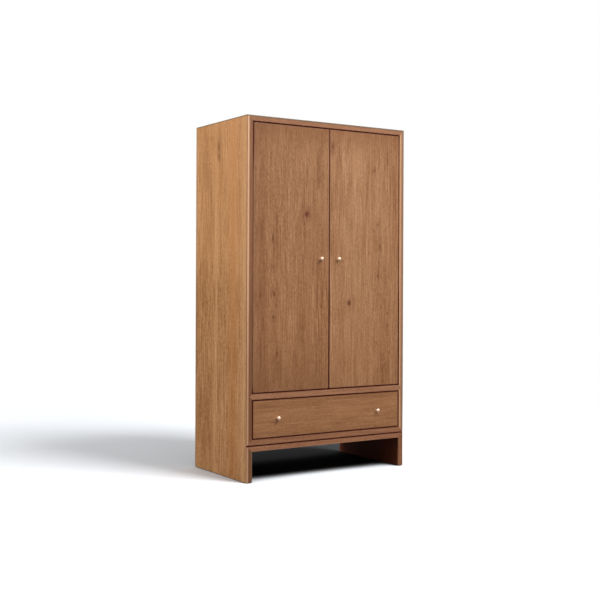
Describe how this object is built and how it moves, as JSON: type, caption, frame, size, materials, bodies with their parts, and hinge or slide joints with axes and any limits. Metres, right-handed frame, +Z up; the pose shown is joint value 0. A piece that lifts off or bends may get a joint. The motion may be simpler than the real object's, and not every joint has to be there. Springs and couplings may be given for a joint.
{
  "type": "armoire",
  "caption": "Freestanding wooden armoire on slab legs: mitred case, inset doors on pivot hinges over a full-width drawer, ball knobs, hanging rod and hat shelf inside.",
  "frame": {"origin": "on the floor, in the middle of the whole piece's width and of its depth with the knobs", "axes": "+Z up, doors and drawer face -Y, +X to the right of someone standing in front of it"},
  "size_m": [1.01, 0.5946, 1.88],
  "materials": {
    "side_veneer": "satin lacquered golden-brown veneer, straight grain, small knots",
    "front_veneer": "satin lacquered mid-brown veneer, straight grain, small knots",
    "solid_edge_wood": "satin lacquered solid wood edge strip, reddish brown",
    "inside_veneer": "matt lacquered veneer, plain straight grain",
    "drawer_box_wood": "clear lacquered pale wood",
    "knob_metal": "brushed champagne",
    "rod_steel": "satin",
    "fitting_steel": "zinc plated",
    "hinge_steel": "satin",
    "slide_steel": "zinc plated",
    "catch_plastic": "matt dark brown",
    "glide_plastic": "matt"
  },
  "bodies": {
    "case": {"left_side_panel": "side_veneer", "right_side_panel": "side_veneer", "top_panel": "side_veneer", "divider_panel": "inside_veneer", "bottom_panel": "inside_veneer", "back_panel": "inside_veneer", "hat_shelf": "inside_veneer", "top_lipping": "solid_edge_wood", "divider_lipping": "solid_edge_wood", "bottom_lipping": "solid_edge_wood", "left_stile_lipping": "solid_edge_wood", "right_stile_lipping": "solid_edge_wood", "left_leg_lipping": "solid_edge_wood", "right_leg_lipping": "solid_edge_wood", "front_base_rail": "solid_edge_wood", "back_base_rail": "solid_edge_wood", "left_front_glide": "glide_plastic", "left_back_glide": "glide_plastic", "right_front_glide": "glide_plastic", "right_back_glide": "glide_plastic", "hanging_rod": "rod_steel", "left_rod_socket": "rod_steel", "right_rod_socket": "rod_steel", "left_front_shelf_pin": "fitting_steel", "left_back_shelf_pin": "fitting_steel", "right_front_shelf_pin": "fitting_steel", "right_back_shelf_pin": "fitting_steel", "magnetic_catch": "catch_plastic", "left_top_hinge_case_leaf": "hinge_steel", "left_bottom_hinge_case_leaf": "hinge_steel", "right_top_hinge_case_leaf": "hinge_steel", "right_bottom_hinge_case_leaf": "hinge_steel", "left_slide_case_member": "slide_steel", "right_slide_case_member": "slide_steel"},
    "left_door": {"left_door": "front_veneer", "left_strike_plate": "fitting_steel", "left_door_knob": "knob_metal", "left_door_knob_screw": "fitting_steel", "left_top_hinge_door_leaf": "hinge_steel", "left_bottom_hinge_door_leaf": "hinge_steel"},
    "right_door": {"right_door": "front_veneer", "right_strike_plate": "fitting_steel", "right_door_knob": "knob_metal", "right_door_knob_screw": "fitting_steel", "right_top_hinge_door_leaf": "hinge_steel", "right_bottom_hinge_door_leaf": "hinge_steel"},
    "drawer": {"drawer_front": "front_veneer", "drawer_box_front": "drawer_box_wood", "drawer_box_back": "drawer_box_wood", "drawer_left_side": "drawer_box_wood", "drawer_right_side": "drawer_box_wood", "drawer_bottom": "drawer_box_wood", "drawer_left_knob": "knob_metal", "drawer_right_knob": "knob_metal", "drawer_left_knob_screw": "fitting_steel", "drawer_right_knob_screw": "fitting_steel", "left_slide_drawer_member": "slide_steel", "right_slide_drawer_member": "slide_steel"},
    "left_slide_middle": {"left_slide_middle_member": "slide_steel"},
    "right_slide_middle": {"right_slide_middle_member": "slide_steel"}
  },
  "joints": [
    {"name": "left_door_hinge", "type": "hinge", "parent": "case", "child": "left_door", "pos_m": [-0.449, -0.26395, 0.459], "axis": [0, 0, -1], "range_deg": [0, 110]},
    {"name": "right_door_hinge", "type": "hinge", "parent": "case", "child": "right_door", "pos_m": [0.449, -0.26395, 0.459], "axis": [0, 0, 1], "range_deg": [0, 110]},
    {"name": "drawer_slide", "type": "slide", "parent": "case", "child": "drawer", "axis": [0, -1, 0], "range_m": [0, 0.42]},
    {"name": "left_slide_middle_travel", "type": "slide", "parent": "case", "child": "left_slide_middle", "axis": [0, -1, 0], "range_m": [0, 0.21]},
    {"name": "right_slide_middle_travel", "type": "slide", "parent": "case", "child": "right_slide_middle", "axis": [0, -1, 0], "range_m": [0, 0.21]}
  ],
  "couplings": [
    {"joint": "left_slide_middle_travel", "follows": "drawer_slide", "ratio": 0.5},
    {"joint": "right_slide_middle_travel", "follows": "drawer_slide", "ratio": 0.5}
  ]
}
